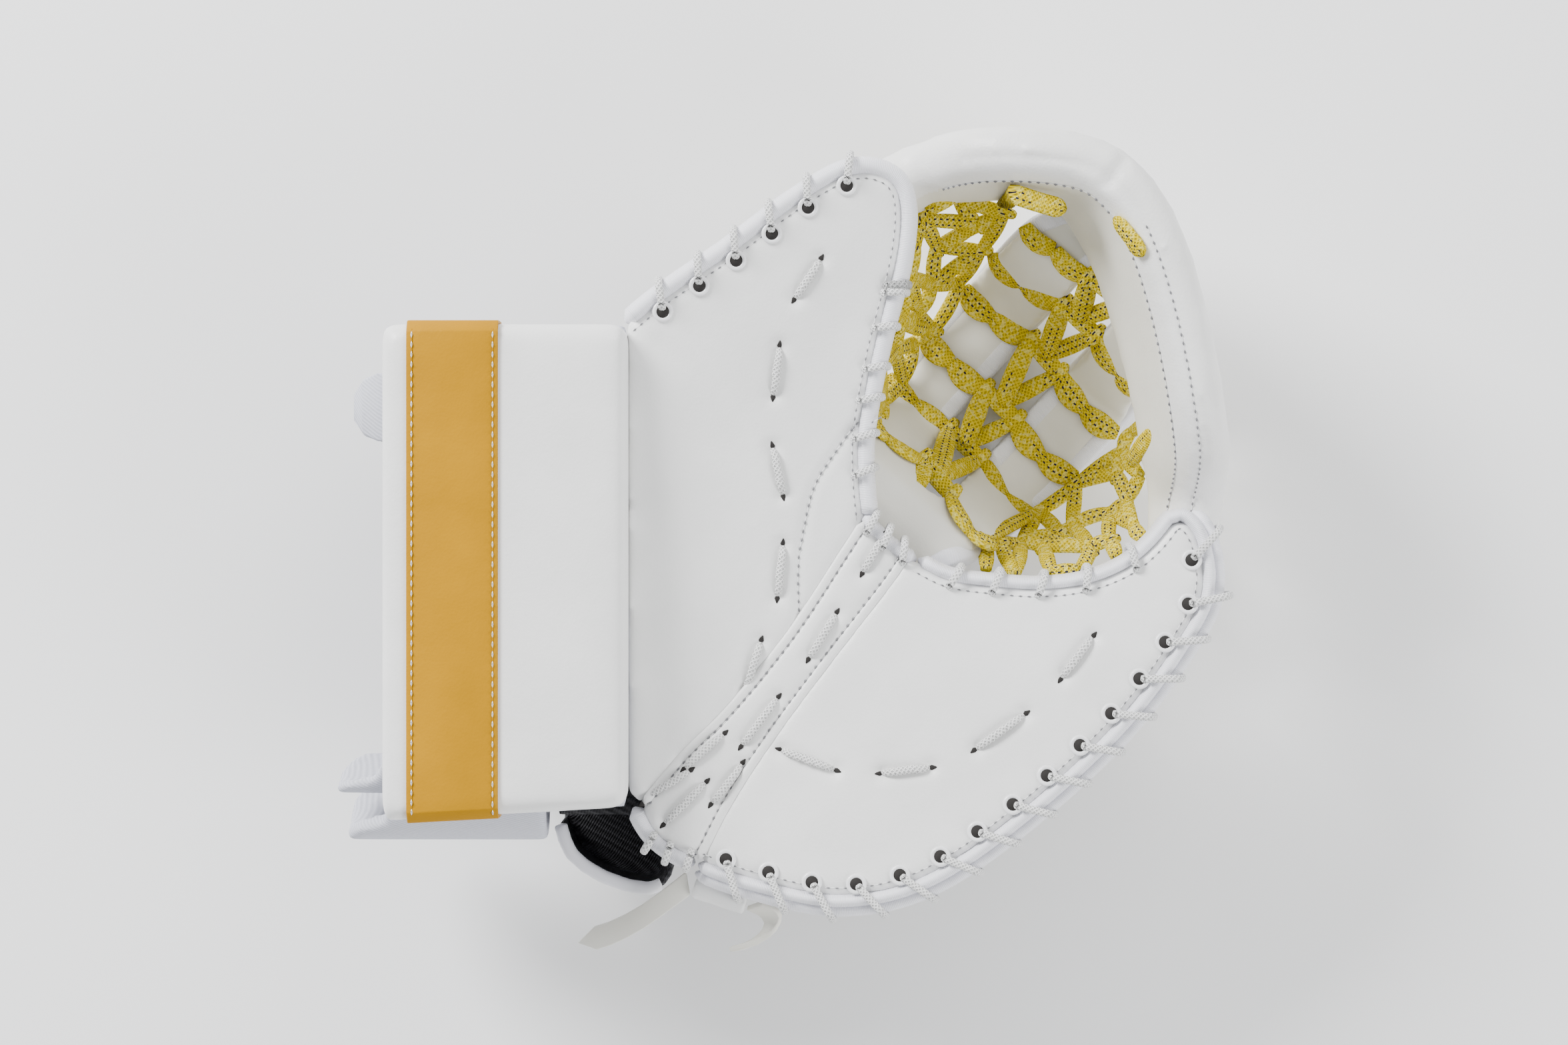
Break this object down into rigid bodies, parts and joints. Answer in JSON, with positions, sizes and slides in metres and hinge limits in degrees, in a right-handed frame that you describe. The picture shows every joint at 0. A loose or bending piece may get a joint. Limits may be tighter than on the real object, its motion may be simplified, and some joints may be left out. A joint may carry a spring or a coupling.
{
  "type": "goalie catcher glove",
  "caption": "Ice hockey goalie's catching glove: padded palm, thumb and cuff, raised rim and a laced net pocket, open at the wrist.",
  "frame": {"origin": "centre of the bounding box, at the plane the glove rests on", "axes": "+Z out of the palm, away from the floor; +X from the cuff towards the pocket; +Y towards the fingers"},
  "size_m": [0.3695, 0.3423, 0.1321],
  "materials": {
    "white_leather": "smooth white synthetic leather, softly creased",
    "white_binding": "glossy white rolled binding",
    "yellow_leather": "smooth golden yellow leather, plain",
    "grey_white_nylon": "greyish white ribbed nylon",
    "black_ribbed_mesh": "black ribbed mesh cloth",
    "cream_strap": "cream leather, slightly matt",
    "yellow_lace": "flat braided yellow lace with navy flecks",
    "white_enamel": "glossy white enamel"
  },
  "bodies": {
    "root": {"backhand_pad": "white_leather", "break_strip": "white_leather", "crotch_binding": "white_binding", "cuff_band": "yellow_leather", "cuff_board": "white_leather", "cuff_lining": "grey_white_nylon", "cuff_wing_finger": "grey_white_nylon", "cuff_wing_inner": "grey_white_nylon", "cuff_wing_thumb": "grey_white_nylon", "double_t": "cream_strap", "hand_liner": "black_ribbed_mesh", "heel_binding": "white_binding", "liner_roll": "white_binding", "net": "yellow_lace", "palm": "white_leather", "palm_binding": "white_binding", "palm_eyelet_01": "white_enamel", "palm_eyelet_02": "white_enamel", "palm_eyelet_03": "white_enamel", "palm_eyelet_04": "white_enamel", "palm_eyelet_05": "white_enamel", "palm_eyelet_06": "white_enamel", "perimeter": "white_leather", "strap_end_long": "cream_strap", "strap_end_short": "cream_strap", "strap_loop": "grey_white_nylon", "strap_sleeve": "white_leather", "thumb": "white_leather", "thumb_back": "white_leather", "thumb_binding": "white_binding", "thumb_eyelet_01": "white_enamel", "thumb_eyelet_02": "white_enamel", "thumb_eyelet_03": "white_enamel", "thumb_eyelet_04": "white_enamel", "thumb_eyelet_05": "white_enamel", "thumb_eyelet_06": "white_enamel", "thumb_eyelet_07": "white_enamel", "thumb_eyelet_08": "white_enamel", "thumb_eyelet_09": "white_enamel", "thumb_eyelet_10": "white_enamel", "thumb_eyelet_11": "white_enamel", "thumb_eyelet_12": "white_enamel", "thumb_eyelet_13": "white_enamel", "thumb_eyelet_14": "white_enamel", "thumb_eyelet_15": "white_enamel", "wrist_strap": "grey_white_nylon"}
  },
  "joints": []
}
